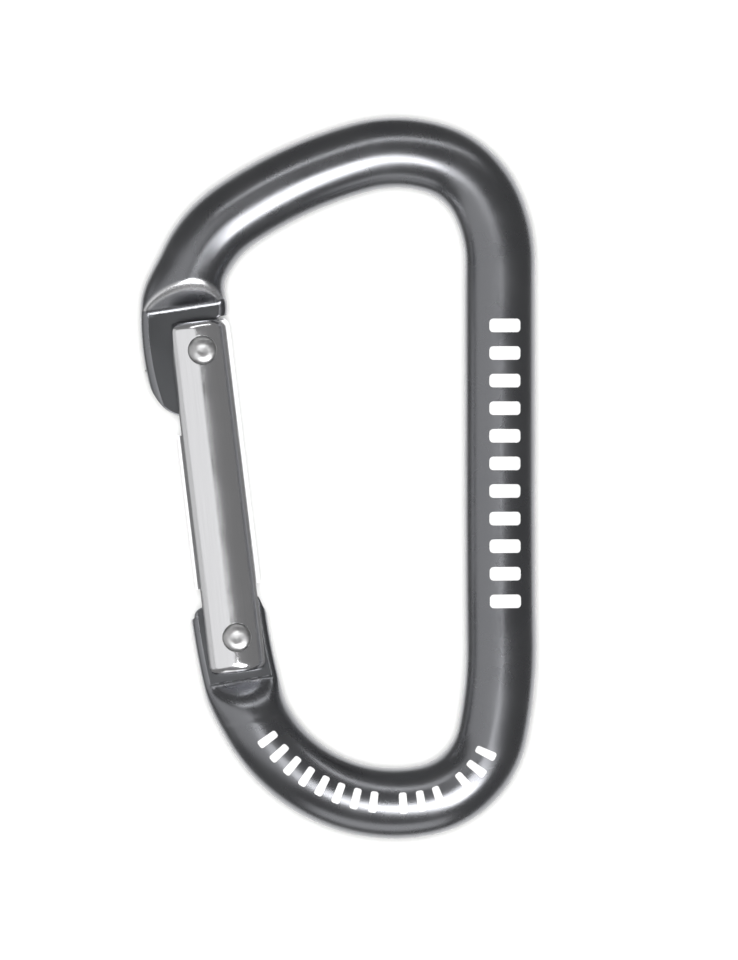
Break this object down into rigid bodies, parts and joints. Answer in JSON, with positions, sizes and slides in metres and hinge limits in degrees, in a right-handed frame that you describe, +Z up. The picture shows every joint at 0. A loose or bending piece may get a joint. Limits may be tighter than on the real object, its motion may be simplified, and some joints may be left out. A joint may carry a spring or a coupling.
{
  "type": "spring-gate carabiner",
  "caption": "D-shaped round-bar carabiner with a plain spring gate that swings inwards on a riveted hinge and latches by a cross pin in a hooked nose.",
  "frame": {"origin": "the middle of the part's outline in plan, on the plane that it lies flat on", "axes": "+Z up through the bar's thickness, +Y along the spine towards the wide end with the nose, +X from the gate to the spine"},
  "size_m": [0.0438, 0.08, 0.0078],
  "materials": {
    "anodised_frame": "satin grey anodised",
    "polished_gate": "bright polished",
    "rivet_steel": "plain, set cold",
    "spring_steel": "plain drawn wire"
  },
  "bodies": {
    "frame": {"frame": "anodised_frame"},
    "gate": {"gate": "polished_gate", "hinge_rivet": "rivet_steel", "latch_rivet": "rivet_steel", "gate_spring": "spring_steel"},
    "plunger": {"plunger": "rivet_steel"}
  },
  "joints": [
    {"name": "gate_hinge", "type": "hinge", "parent": "frame", "child": "gate", "pos_m": [-0.01124, -0.01769, 0.0039], "axis": [0, 0, -1], "range_deg": [0, 28], "stiffness_Nm_per_rad": 0.0306, "springref_deg": -54.72},
    {"name": "plunger_slide", "type": "slide", "parent": "gate", "child": "plunger", "axis": [-0.1194, 0.9929, 0], "range_m": [0, 0.0012], "deforming": ["gate_spring"]}
  ],
  "couplings": [
    {"joint": "plunger_slide", "follows": "gate_hinge", "m_per_rad": 0.0023}
  ]
}
